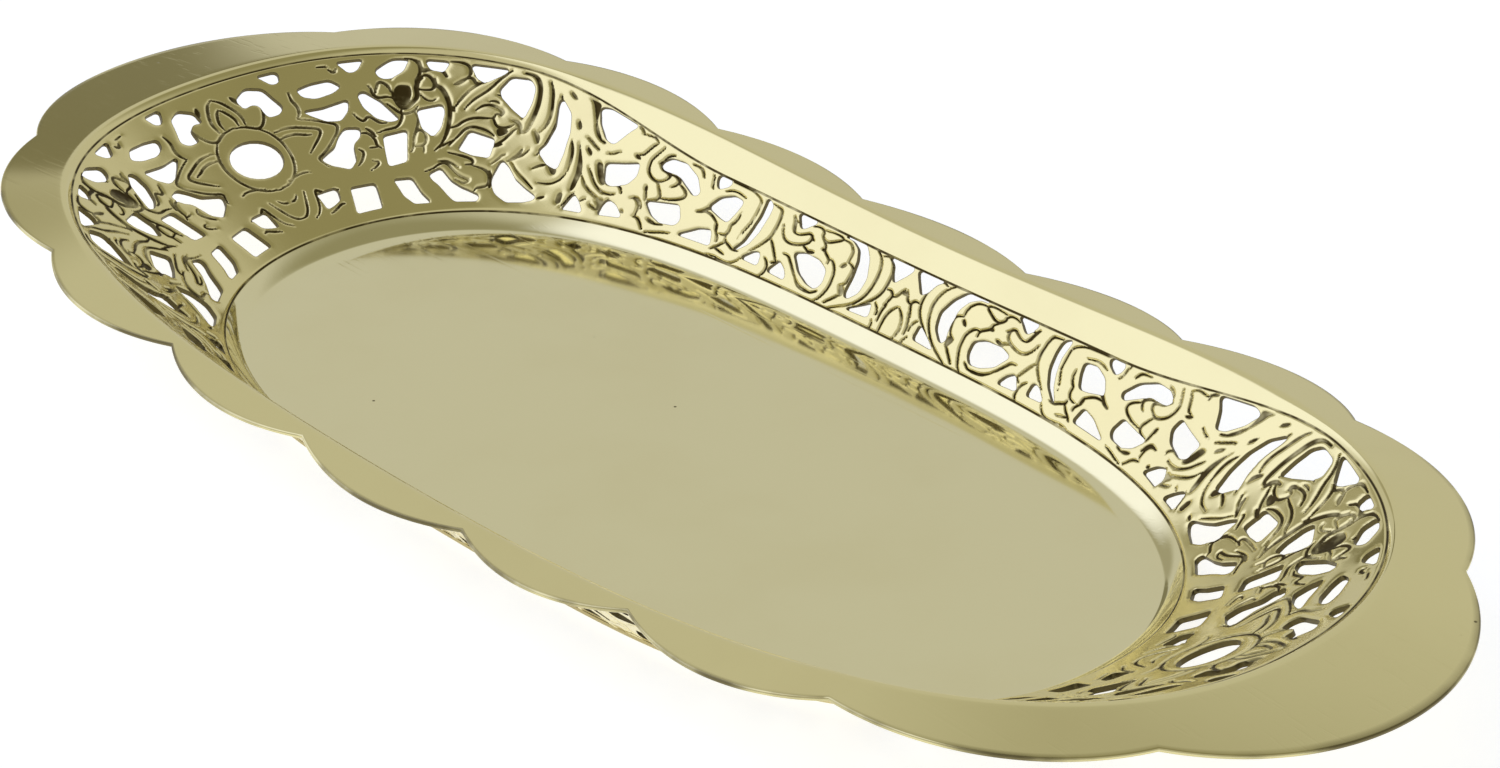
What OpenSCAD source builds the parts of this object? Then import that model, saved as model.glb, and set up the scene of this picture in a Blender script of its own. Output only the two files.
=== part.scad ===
// Long oval serving tray in sheet brass: a flat floor pan with a plain upturned foot band,
// a pierced and chased gallery wall in four panels, and a scalloped rim with a plain cove.
// Millimetres, +Z up, long side along X, origin under the middle of the floor.

/* [Foot line] */
// Half length of the line where the pierced wall starts
foot_half_len = 120; // [100:1:150]
// Half width of that line
foot_half_wid = 59.4; // [46:0.2:76]
// Squareness of the foot line towards its ends
foot_square = 3.36; // [2:0.02:5]
// Roundness of the foot line across its ends
foot_round = 2.08; // [1.8:0.02:3]
// Plan width of the plain band between floor and foot line
foot_run = 4; // [2.4:0.1:7]
// Height of the foot line above the floor
foot_rise = 2.7; // [1.5:0.1:5]

/* [Crest line] */
// Plan reach of the wall from foot line to crest at the two ends
end_reach = 45; // [30:0.5:60]
// Plan reach of the wall from foot line to crest at the middle of the sides
side_reach = 14.2; // [9:0.1:20]
// Squareness of the crest line towards its ends
crest_square = 4.2; // [2:0.05:6]
// Roundness of the crest line across its ends
crest_round = 2.12; // [1.8:0.02:3]
// Height of the crest above the floor at the middle of the sides
side_height = 21.4; // [15:0.2:30]
// Extra height of the crest at the two ends
end_lift = 5.8; // [0:0.1:10]
// Fullness of that lift between side and end
lift_swell = 9.9; // [0:0.1:12]

/* [Pierced band] */
// Share of the wall taken by the pierced band on the sides
band_side = 0.72; // [0.6:0.01:0.85]
// Share of the wall taken by the pierced band at the ends
band_end = 0.955; // [0.86:0.005:0.97]
// Angle from the end where the plain cove starts to widen
cove_from = 32; // [20:1:40]
// Angle from the end where the plain cove has its full width
cove_to = 62; // [50:1:75]
// Angle from the end where end and side panels meet
panel_joint = 39.2; // [39:0.1:39.5]

/* [Scalloped rim] */
// Angles of the four notches from the end
notch_angle = [14.8, 35.8, 57, 78.4];
// Flange width at those notches
notch_width = [13.1, 7, 3, 3.6];
// Swell of the lobes, from the end lobe to the middle side lobe
lobe_swell = [11, 4, 5.5, 5.5, 5.5];
// Fall of the flange per millimetre of width
flange_fall = 0.11; // [0:0.01:0.25]
// Swell of the plain cove
cove_swell = 0.35; // [0:0.05:0.8]

/* [Sheet and solder] */
// Thickness of the sheet
sheet = 1; // [0.8:0.05:1.4]
// Height of the solder fillets on the outside of the seams
fillet = 0.6; // [0.3:0.05:1]
// Half width of the panel joint fillets, in degrees
joint_half = 0.3; // [0.2:0.05:0.3]

/* [Hidden] */

crest_half_len = foot_half_len + end_reach;
crest_half_wid = foot_half_wid + side_reach;
cut_over = 1.5;                      // how far a piercing runs past the sheet each way
run_lap = 0.08;                      // lap of one length of a run over the length before it
low_bead = 1.05;                     // wall station of the top of the foot fillet
high_bead = 1.97;                    // wall station of the bottom of the rim fillet
rim_bead = 2.25;                     // wall station of the top of the rim fillet
pan_bead = 0.7;                      // wall station of the bottom of the foot fillet
brass = [0.78, 0.70, 0.42];
solder = [0.70, 0.66, 0.52];

// Piercings of one quarter: angle from the end, share of the wall from foot line to crest.
// Blocks have a convex outline; runs are pairs of edges, first point facing the last.
blocks = [
  [[5.4,.93],[7.3,.93],[7,.86],[6.4,.85],[6,.87]],
  [[13.2,.92],[15.6,.92],[14.9,.86],[14.1,.85]],
  [[8.3,.79],[9.8,.81],[11.8,.82],[12.7,.78],[11.7,.75],[9.8,.73],[8.6,.75]],
  [[8.1,.67],[10.1,.67],[12.9,.7],[12.5,.64],[11.5,.59],[10.1,.6],[8.8,.64]],
  [[4,.23],[6.9,.23],[6.6,.17],[5.4,.15],[4.2,.14]],
  [[8.8,.21],[12.3,.21],[12.1,.07],[8.1,.07]],
  [[15.2,.22],[17.7,.22],[18.6,.13],[19.8,.07],[17.3,.07],[16,.12]],
  [[15.6,.47],[18.2,.49],[17.6,.32],[15.2,.3]],
  [[14.2,.72],[14.8,.74],[16.2,.68],[17.7,.56],[16.7,.55],[15.4,.58],[14.4,.65]],
  [[16.7,.85],[18.4,.91],[19.9,.91],[19.3,.84],[17.8,.8],[17,.81]],
  [[21.6,.91],[23.8,.91],[23.2,.85],[22,.86]],
  [[20,.61],[22.8,.64],[22.9,.59],[22.2,.5],[21.2,.45],[20.1,.5]],
  [[26,.91],[30,.92],[29,.87],[27.4,.81],[26.6,.83]],
  [[24.3,.38],[25.8,.49],[29,.46],[28.4,.34],[26.2,.35]],
  [[29.1,.78],[30.2,.87],[32.4,.88],[33.1,.83],[33,.73],[32.5,.63],[31,.67],[29.5,.73]],
  [[40.9,.19],[42,.14],[42.9,.07],[39.9,.07]],
  [[41.5,.83],[42.7,.87],[44.8,.86],[47,.8],[45.9,.73],[44.5,.61],[43.3,.63],[42,.73]],
  [[44.4,.46],[47,.5],[49,.54],[49.2,.45],[48.2,.37],[45.9,.32],[44.8,.34]],
  [[46.1,.21],[47.5,.18],[48.8,.1],[45.4,.08],[45.5,.16]],
  [[51.6,.28],[53.6,.3],[56.2,.33],[56.9,.22],[56.4,.17],[54.3,.15],[52.8,.19]],
  [[59.9,.72],[61.9,.72],[61.7,.64],[60.4,.58],[59.9,.63]],
  [[57.4,.11],[59.9,.21],[61.7,.24],[62.2,.12]],
  [[60.2,.41],[61.2,.51],[62.9,.57],[64.5,.56],[64.2,.47],[63.5,.36],[62.2,.37]],
  [[67.2,.12],[68.5,.21],[69.4,.22],[69.6,.11]],
  [[71.1,.1],[72.1,.22],[73.1,.17],[73.7,.09]],
  [[72.1,.72],[74.8,.72],[74.2,.65],[73.4,.59],[72.9,.59]],
  [[73.7,.34],[75,.38],[77.2,.37],[78.5,.32],[78.6,.21],[78,.14],[76.6,.15],[75,.21]],
  [[83.1,.1],[84.5,.17],[85.8,.24],[86,.11]],
  [[85.4,.73],[88.9,.73],[88.6,.64],[87.3,.5],[86.7,.56],[86.2,.65]]];
runs = [
  [[2.4,.83],[3.7,.87],[5.1,.84],[5.6,.78],[6.2,.72],
   [5.6,.69],[4.4,.69],[4.2,.76],[3.5,.78],[2.5,.77]],
  [[7.3,.39],[9.8,.44],[10.8,.5],[11.7,.54],[13.2,.53],
   [12.9,.48],[11.8,.44],[11.3,.35],[10.1,.31],[8,.35]],
  [[20.4,.24],[21.9,.27],[23.3,.19],[24.7,.15],[27.4,.1],
   [27.2,.07],[23.7,.07],[22.9,.1],[21.6,.17],[20.6,.21]],
  [[36.6,.81],[38,.73],[38.5,.6],[38.3,.45],[37.7,.33],
   [36.3,.35],[35,.43],[36,.5],[36.7,.63],[36.4,.77]],
  [[29.2,.21],[30.2,.33],[31.1,.29],[32.3,.21],[33.9,.16],[35.6,.12],
   [35.4,.1],[34.1,.08],[31.6,.07],[30.4,.1],[29.8,.12],[29.3,.17]],
  [[51.9,.61],[52.8,.66],[55,.67],[57.1,.6],[58.3,.48],
   [57.6,.45],[56.4,.5],[54.7,.57],[52.8,.57],[52,.58]],
  [[68.4,.65],[68.5,.55],[68.2,.39],[67.4,.26],[66.2,.18],
   [65.7,.16],[66.7,.26],[67.2,.37],[67.6,.52],[67.4,.69]],
  [[80.4,.74],[82,.69],[83.2,.57],[84,.42],[83.7,.28],[82.6,.19],
   [82,.21],[82.2,.37],[82,.52],[81.3,.63],[80.1,.69],[79,.73]]];
side_stretch = 0.8 / 90;             // spreads the side openings so the middle bud is symmetrical
eye = [for (a = [0:30:330]) [3.1 * cos(a), 0.495 + 0.107 * sin(a)]];

function sgn(x) = x > 0 ? 1 : x < 0 ? -1 : 0;
function mix(a, b, f) = a + (b - a) * f;
function ease(f) = let (g = min(1, max(0, f))) g * g * (3 - 2 * g);
function unit(v) = v / norm(v);
// angle from the nearer end, 0 to 90
function fold(t) = let (a = (t % 360 + 360) % 360, b = a > 180 ? 360 - a : a) b > 90 ? 180 - b : b;

function foot_xy(t) = let (c = cos(t), k = max(0, 1 - pow(abs(c), foot_square)))
  [foot_half_len * c, foot_half_wid * sgn(sin(t)) * pow(k, 1 / foot_round)];
function foot_dir(t) = let (p = foot_xy(t),
    gx = foot_square * sgn(p.x) * pow(abs(p.x) / foot_half_len, foot_square - 1) / foot_half_len,
    gy = foot_round * sgn(p.y) * pow(abs(p.y) / foot_half_wid, foot_round - 1) / foot_half_wid)
  unit([gx, gy]);
function in_crest(p) = pow(abs(p.x) / crest_half_len, crest_square)
  + pow(abs(p.y) / crest_half_wid, crest_round) < 1;
function halve(p, n, a, b, k) = let (m = (a + b) / 2)
  k == 0 ? m : in_crest(p + n * m) ? halve(p, n, m, b, k - 1) : halve(p, n, a, m, k - 1);
function reach(t) = halve(foot_xy(t), foot_dir(t), 0, 2 * (end_reach + side_reach), 26);
function crest_z(x) = let (u = min(1.05, pow(x / crest_half_len, 2)))
  side_height + end_lift * u + lift_swell * u * (1 - u);
function band(t) = mix(band_end, band_side, ease((fold(t) - cove_from) / (cove_to - cove_from)));

// flange width: straight growth between notches plus the swell of the lobe
knots = concat([-notch_angle[0]], notch_angle, [180 - notch_angle[3]]);
widths = concat([notch_width[0]], notch_width, [notch_width[3]]);
function lobe(t) = let (q = fold(t), k = len([for (a = knots) if (a <= q + 1e-9) a]) - 1,
    i = min(k, 4), f = (q - knots[i]) / (knots[i + 1] - knots[i]))
  mix(widths[i], widths[i + 1], f) + 4 * lobe_swell[i] * f * (1 - f);

// upper face: station 0-1 foot band, 1-2 pierced band, 2-3 plain cove, 3-4 flange
function at(t, s) = let (p = foot_xy(t), n = foot_dir(t), d = s > 1 ? reach(t) : 0,
    r = s <= 2 ? (s - 1) * band(t) : mix(band(t), 1, s - 2),
    q = p + n * (s <= 1 ? foot_run * (s - 1) : s <= 3 ? d * r : d + lobe(t) * (s - 3)),
    c = crest_z((p + n * d).x),
    z = s <= 1 ? foot_rise * pow(max(0, s), 1.5)
      : s <= 3 ? mix(foot_rise, c, r) + (s > 2 ? cove_swell * sin(180 * (s - 2)) : 0)
      : c - flange_fall * lobe(t) * (s - 3))
  [q.x, q.y, sheet + z];
function down(t, s) = let (e = 0.4, g = 0.02)
  unit(cross(at(t + e, s) - at(t - e, s), at(t, s + g) - at(t, s - g)));
function under(t, s) = s <= 0 ? [at(t, 0).x, at(t, 0).y, 0] : at(t, s) + sheet * down(t, s);

// columns round the tray, finer lists for the quarter, notches and joints included
function steps(a, b, n) = [for (i = [0:n - 1]) mix(a, b, i / n)];
quarter = concat(steps(0, notch_angle[0], 5), steps(notch_angle[0], notch_angle[1], 6),
  [notch_angle[1], (notch_angle[1] + panel_joint - joint_half) / 2, panel_joint - joint_half,
   panel_joint, panel_joint + joint_half],
  steps(panel_joint + 3, notch_angle[2], 4), steps(notch_angle[2], notch_angle[3], 6),
  steps(notch_angle[3], 90, 4));
nq = len(quarter);
turn = concat(quarter, [90], [for (i = [nq - 1:-1:1]) 180 - quarter[i]],
  [for (a = quarter) 180 + a], [270], [for (i = [nq - 1:-1:1]) 360 - quarter[i]]);
function span(a, b) = [for (t = concat([for (t = turn) t - 360], turn)) if (t > a - 0.01 && t < b + 0.01) t];

function quad(a, b, c, d) = [[a, b, c], [a, c, d]];
function flat1(l) = [for (a = l) for (b = a) b];
function turned(l) = [for (f = l) [f[0], f[2], f[1]]];

// sheet between stations ss over columns ts
module sheet_metal(ts, ss, ring) {
  n = len(ts); m = len(ss); o = n * m;
  last = ring ? n - 1 : n - 2;
  polyhedron(convexity = 12,
    points = concat([for (t = ts) for (s = ss) at(t, s)], [for (t = ts) for (s = ss) under(t, s)]),
    faces = turned(concat(
      flat1([for (i = [0:last]) for (j = [0:m - 2]) let (k = (i + 1) % n)
        quad(i * m + j, i * m + j + 1, k * m + j + 1, k * m + j)]),
      flat1([for (i = [0:last]) for (j = [0:m - 2]) let (k = (i + 1) % n)
        quad(o + i * m + j, o + k * m + j, o + k * m + j + 1, o + i * m + j + 1)]),
      flat1([for (i = [0:last]) let (k = (i + 1) % n) quad(i * m, k * m, o + k * m, o + i * m)]),
      flat1([for (i = [0:last]) let (k = (i + 1) % n)
        quad(i * m + m - 1, o + i * m + m - 1, o + k * m + m - 1, k * m + m - 1)]),
      ring ? [] : flat1([for (j = [0:m - 2]) quad(j, o + j, o + j + 1, j + 1)]),
      ring ? [] : flat1([for (j = [0:m - 2]) let (b = (n - 1) * m)
        quad(b + j, b + j + 1, o + b + j + 1, o + b + j)]))));
}

// closed fillet on the outside of a seam: foot of the fillet on both sheets and its crown
module seam_fillet(s0, s1, s2) {
  n = len(turn);
  pts = [for (t = turn) for (p = [under(t, s0), under(t, s1), under(t, s2),
    under(t, s1) + fillet * down(t, s1)]) p];
  polyhedron(convexity = 6, points = pts,
    faces = turned(flat1([for (i = [0:n - 1]) for (j = [0:3]) let (k = (i + 1) % n, l = (j + 1) % 4)
      quad(i * 4 + j, i * 4 + l, k * 4 + l, k * 4 + j)])));
}

module joint_fillet(t) {
  a = [for (s = [low_bead, high_bead]) for (q = [t - joint_half, t, t + joint_half]) under(q, s)];
  e = [for (s = [low_bead, high_bead]) under(t, s) + fillet * down(t, s)];
  polyhedron(points = concat(a, e), faces = turned(concat(
    quad(0, 3, 4, 1), quad(1, 4, 5, 2), quad(0, 6, 7, 3), quad(6, 2, 5, 7),
    [[0, 1, 6], [1, 2, 6], [3, 7, 4], [4, 7, 5]])));
}

// a piercing runs square through the sheet
function wall_at(t, r) = let (b = band(t)) 1 + min(r / b, high_bead - 1.01);
module through(pts) {
  n = len(pts);
  hull() polyhedron(points = concat(
      [for (p = pts) let (s = wall_at(p.x, p.y)) at(p.x, s) - cut_over * down(p.x, s)],
      [for (p = pts) let (s = wall_at(p.x, p.y)) at(p.x, s) + (sheet + cut_over) * down(p.x, s)]),
    faces = concat([[for (i = [0:n - 1]) i]], [[for (i = [n - 1:-1:0]) n + i]],
      [for (i = [0:n - 1]) [i, n + i, n + (i + 1) % n, (i + 1) % n]]));
}
function spread(l, c, d) = [for (p = l) [c + d * p.x * (1 + side_stretch), p.y]];
module piercings(c, d, q0, q1) {
  for (b = blocks) if (b[0].x > q0 && b[0].x < q1) through(spread(b, c, d));
  for (b = runs) if (b[0].x > q0 && b[0].x < q1) let (l = spread(b, c, d), n = len(l))
    for (i = [0:n / 2 - 2]) let (g = i > 0 ? run_lap : 0)
      through([mix(l[i], l[i + 1], -g), l[i + 1], l[n - 2 - i], mix(l[n - 1 - i], l[n - 2 - i], -g)]);
}
wall_levels = [1, low_bead, high_bead, 2];

module end_panel(c) {
  color(brass) difference() {
    sheet_metal(span(c - panel_joint, c + panel_joint), wall_levels, false);
    piercings(c, 1, 0, panel_joint);
    piercings(c, -1, 0, panel_joint);
    through([for (p = eye) [c + p.x, p.y]]);
  }
}
module side_panel(c) {
  color(brass) difference() {
    sheet_metal(span(c - 90 + panel_joint, c + 90 - panel_joint), wall_levels, false);
    piercings(c - 90, 1, panel_joint, 90);
    piercings(c + 90, -1, panel_joint, 90);
  }
}

module floor_pan() {
  n = len(turn); ss = [0, 0.35, pan_bead, 1]; m = len(ss); o = n * m;
  color(brass) polyhedron(convexity = 6,
    points = concat([for (t = turn) for (s = ss) at(t, s)],
      [for (t = turn) for (s = ss) under(t, s)], [[0, 0, sheet], [0, 0, 0]]),
    faces = turned(concat(
      flat1([for (i = [0:n - 1]) for (j = [0:m - 2]) let (k = (i + 1) % n)
        concat(quad(i * m + j, i * m + j + 1, k * m + j + 1, k * m + j),
          quad(o + i * m + j, o + k * m + j, o + k * m + j + 1, o + i * m + j + 1))]),
      flat1([for (i = [0:n - 1]) let (k = (i + 1) % n)
        quad(i * m + m - 1, o + i * m + m - 1, o + k * m + m - 1, k * m + m - 1)]),
      [for (i = [0:n - 1]) [2 * o, i * m, (i + 1) % n * m]],
      [for (i = [0:n - 1]) [2 * o + 1, o + (i + 1) % n * m, o + i * m]])));
}
module gallery_end_left() { end_panel(180); }
module gallery_end_right() { end_panel(0); }
module gallery_side_back() { side_panel(90); }
module gallery_side_front() { side_panel(-90); }
module scalloped_rim() {
  color(brass) sheet_metal(turn, [2, rim_bead, 2.6, 3, 3.35, 4], true);
}
module foot_seam_solder() { color(solder) seam_fillet(pan_bead, 1, low_bead); }
module rim_seam_solder() { color(solder) seam_fillet(high_bead, 2, rim_bead); }
module panel_joint_solder() {
  color(solder) for (t = [panel_joint, 180 - panel_joint, 180 + panel_joint, -panel_joint])
    joint_fillet(t);
}

floor_pan();
gallery_end_left();
gallery_end_right();
gallery_side_back();
gallery_side_front();
scalloped_rim();
foot_seam_solder();
rim_seam_solder();
panel_joint_solder();
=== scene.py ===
import math

import bpy
import numpy as np
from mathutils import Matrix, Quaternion, Vector


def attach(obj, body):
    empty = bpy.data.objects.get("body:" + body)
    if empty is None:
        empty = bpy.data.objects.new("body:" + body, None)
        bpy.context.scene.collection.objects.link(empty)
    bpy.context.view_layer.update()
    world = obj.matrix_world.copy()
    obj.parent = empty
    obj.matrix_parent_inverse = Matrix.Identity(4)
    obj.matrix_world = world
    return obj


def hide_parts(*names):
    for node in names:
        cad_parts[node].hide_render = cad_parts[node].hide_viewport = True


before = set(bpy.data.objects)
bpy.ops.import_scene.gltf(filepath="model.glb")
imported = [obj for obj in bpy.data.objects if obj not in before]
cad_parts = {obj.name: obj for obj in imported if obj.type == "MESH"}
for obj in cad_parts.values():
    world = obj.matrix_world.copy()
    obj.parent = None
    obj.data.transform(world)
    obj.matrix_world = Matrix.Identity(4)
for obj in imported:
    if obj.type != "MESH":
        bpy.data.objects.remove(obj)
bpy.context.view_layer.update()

bl_info = {
    "name": "Pierced oval brass tray",
    "version": (1, 0, 0),
    "blender": (4, 5, 0),
    "location": "View3D > Sidebar > Tray",
    "description": "Long oval brass tray with a pierced and chased wall and a scalloped rim",
    "category": "Add Mesh",
}

MM = 0.001
# Side of the stage floor, how far it lies under the tray, and how much light it gives itself.
STAGE_SIZE = 4.0
STAGE_DROP = .0004
STAGE_GLOW = (.89, .91, 1, 1)
STAGE_GLOW_STRENGTH = .74
# Camera: lens in millimetres, shift of the view, turn, rise and roll in degrees, the place it
# looks at and its distance from there.
SENSOR, LENS = 36, 93.4116
VIEW_SHIFT = (-.00724, .00023333)
CAMERA_TURN, CAMERA_RISE, CAMERA_ROLL = 46.6, 28.74, .13
CAMERA_AIM, CAMERA_DISTANCE = (-.00647, .02933, .001), .8226
STUDIO_WALL = (.58, .58, .57, 1)
# Turn and rise of each zone's middle, its inner and outer radius in degrees, its colour.
STUDIO_ZONES = (
    ((80, 74), 18, 44, (.30, .29, .21, 1)),
    ((167, 26), 8, 15, (.38, .37, .31, 1)),
    ((151, 17), 5, 7.5, (.22, .21, .15, 1)),
    ((-147, 38), 24, 41, (1.08, 1.12, 1.40, 1)))

# Piercings of one quarter, as (degrees from the end, share of the wall from foot line to crest).
BLOCKS = [
    [(5.4, .93), (7.3, .93), (7, .86), (6.4, .85), (6, .87)],
    [(13.2, .92), (15.6, .92), (14.9, .86), (14.1, .85)],
    [(8.3, .79), (9.8, .81), (11.8, .82), (12.7, .78), (11.7, .75), (9.8, .73), (8.6, .75)],
    [(8.1, .67), (10.1, .67), (12.9, .7), (12.5, .64), (11.5, .59), (10.1, .6), (8.8, .64)],
    [(4, .23), (6.9, .23), (6.6, .17), (5.4, .15), (4.2, .14)],
    [(8.8, .21), (12.3, .21), (12.1, .07), (8.1, .07)],
    [(15.2, .22), (17.7, .22), (18.6, .13), (19.8, .07), (17.3, .07), (16, .12)],
    [(15.6, .47), (18.2, .49), (17.6, .32), (15.2, .3)],
    [(14.2, .72), (14.8, .74), (16.2, .68), (17.7, .56), (16.7, .55), (15.4, .58), (14.4, .65)],
    [(16.7, .85), (18.4, .91), (19.9, .91), (19.3, .84), (17.8, .8), (17, .81)],
    [(21.6, .91), (23.8, .91), (23.2, .85), (22, .86)],
    [(20, .61), (22.8, .64), (22.9, .59), (22.2, .5), (21.2, .45), (20.1, .5)],
    [(26, .91), (30, .92), (29, .87), (27.4, .81), (26.6, .83)],
    [(24.3, .38), (25.8, .49), (29, .46), (28.4, .34), (26.2, .35)],
    [(29.1, .78), (30.2, .87), (32.4, .88), (33.1, .83), (33, .73), (32.5, .63), (31, .67),
     (29.5, .73)],
    [(40.9, .19), (42, .14), (42.9, .07), (39.9, .07)],
    [(41.5, .83), (42.7, .87), (44.8, .86), (47, .8), (45.9, .73), (44.5, .61), (43.3, .63),
     (42, .73)],
    [(44.4, .46), (47, .5), (49, .54), (49.2, .45), (48.2, .37), (45.9, .32), (44.8, .34)],
    [(46.1, .21), (47.5, .18), (48.8, .1), (45.4, .08), (45.5, .16)],
    [(51.6, .28), (53.6, .3), (56.2, .33), (56.9, .22), (56.4, .17), (54.3, .15), (52.8, .19)],
    [(59.9, .72), (61.9, .72), (61.7, .64), (60.4, .58), (59.9, .63)],
    [(57.4, .11), (59.9, .21), (61.7, .24), (62.2, .12)],
    [(60.2, .41), (61.2, .51), (62.9, .57), (64.5, .56), (64.2, .47), (63.5, .36), (62.2, .37)],
    [(67.2, .12), (68.5, .21), (69.4, .22), (69.6, .11)],
    [(71.1, .1), (72.1, .22), (73.1, .17), (73.7, .09)],
    [(72.1, .72), (74.8, .72), (74.2, .65), (73.4, .59), (72.9, .59)],
    [(73.7, .34), (75, .38), (77.2, .37), (78.5, .32), (78.6, .21), (78, .14), (76.6, .15),
     (75, .21)],
    [(83.1, .1), (84.5, .17), (85.8, .24), (86, .11)],
    [(85.4, .73), (88.9, .73), (88.6, .64), (87.3, .5), (86.7, .56), (86.2, .65)],
    [(2.4, .83), (3.7, .87), (5.1, .84), (5.6, .78), (6.2, .72), (5.6, .69), (4.4, .69),
     (4.2, .76), (3.5, .78), (2.5, .77)],
    [(7.3, .39), (9.8, .44), (10.8, .5), (11.7, .54), (13.2, .53), (12.9, .48), (11.8, .44),
     (11.3, .35), (10.1, .31), (8, .35)],
    [(20.4, .24), (21.9, .27), (23.3, .19), (24.7, .15), (27.4, .1), (27.2, .07), (23.7, .07),
     (22.9, .1), (21.6, .17), (20.6, .21)],
    [(36.6, .81), (38, .73), (38.5, .6), (38.3, .45), (37.7, .33), (36.3, .35), (35, .43),
     (36, .5), (36.7, .63), (36.4, .77)],
    [(29.2, .21), (30.2, .33), (31.1, .29), (32.3, .21), (33.9, .16), (35.6, .12), (35.4, .1),
     (34.1, .08), (31.6, .07), (30.4, .1), (29.8, .12), (29.3, .17)],
    [(51.9, .61), (52.8, .66), (55, .67), (57.1, .6), (58.3, .48), (57.6, .45), (56.4, .5),
     (54.7, .57), (52.8, .57), (52, .58)],
    [(68.4, .65), (68.5, .55), (68.2, .39), (67.4, .26), (66.2, .18), (65.7, .16), (66.7, .26),
     (67.2, .37), (67.6, .52), (67.4, .69)],
    [(80.4, .74), (82, .69), (83.2, .57), (84, .42), (83.7, .28), (82.6, .19), (82, .21),
     (82.2, .37), (82, .52), (81.3, .63), (80.1, .69), (79, .73)],
]
EYE = [(3.1 * math.cos(a), .495 + .107 * math.sin(a))
       for a in np.linspace(0, 2 * math.pi, 24, False)]
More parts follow.
